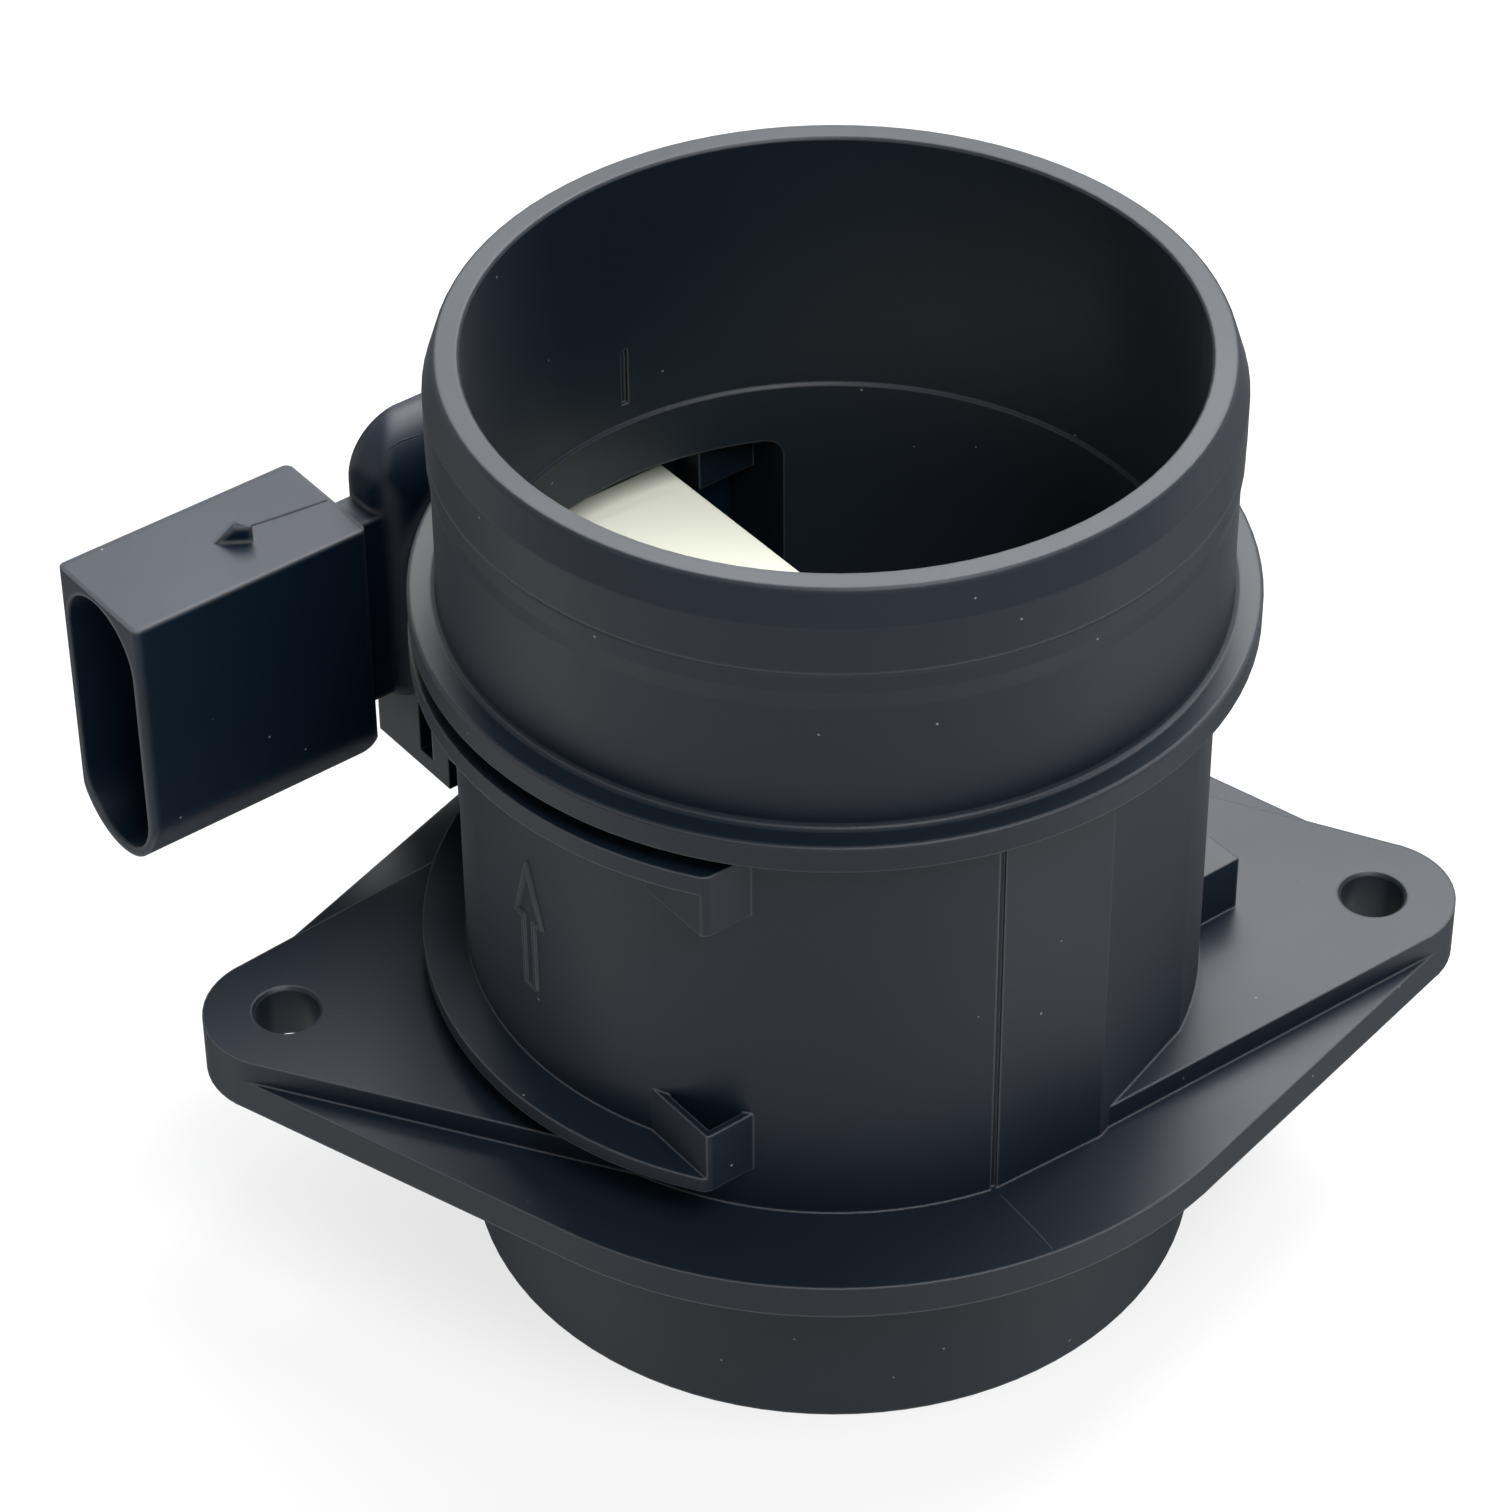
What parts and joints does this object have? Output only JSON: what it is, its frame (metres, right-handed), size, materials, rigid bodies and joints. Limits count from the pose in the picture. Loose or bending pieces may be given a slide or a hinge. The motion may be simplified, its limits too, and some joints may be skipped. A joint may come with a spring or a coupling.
{
  "type": "mass airflow sensor",
  "caption": "Round moulded duct with a two-eared flange, hose spigot, side connector and a measuring insert across the bore.",
  "frame": {"origin": "on the duct's axis at the open end of the lower spigot", "axes": "+Z along the duct in the direction of the air flow, +X along the line through the two ear holes, +Y away from the flange's bolt line towards the measuring module"},
  "size_m": [0.1474, 0.11, 0.111],
  "materials": {
    "housing_plastic": "satin moulded",
    "module_plastic": "satin moulded",
    "grid_plastic": "matte moulded",
    "spring_steel": "bright",
    "seal_rubber": "matte",
    "insert_plastic": "smooth ivory",
    "ceramic": "smooth white ceramic",
    "sensor_film": "polished silicon",
    "potting": "cast drop",
    "bead_glass": "glass-coated bead",
    "lead_wire": "tinned",
    "base_aluminium": "milled",
    "board_laminate": "coated",
    "package_black": "moulded package",
    "capacitor_body": "fired",
    "screw_steel": "zinc plated",
    "contact_metal": "tin plated"
  },
  "bodies": {
    "root": {"housing": "housing_plastic", "flow_grid": "grid_plastic", "grid_ring": "spring_steel", "module_seal": "seal_rubber", "module_body": "module_plastic", "terminal_1": "contact_metal", "terminal_2": "contact_metal", "terminal_3": "contact_metal", "terminal_4": "contact_metal", "terminal_5": "contact_metal", "insert_body": "insert_plastic", "insert_cover": "insert_plastic", "film_carrier": "ceramic", "film_chip": "sensor_film", "chip_potting": "potting", "thermistor_bead": "bead_glass", "thermistor_lead_1": "lead_wire", "thermistor_lead_2": "lead_wire", "base_plate": "base_aluminium", "board": "board_laminate", "board_chip": "package_black", "board_capacitors": "capacitor_body", "module_screws": "screw_steel", "module_cover": "module_plastic"}
  },
  "joints": []
}
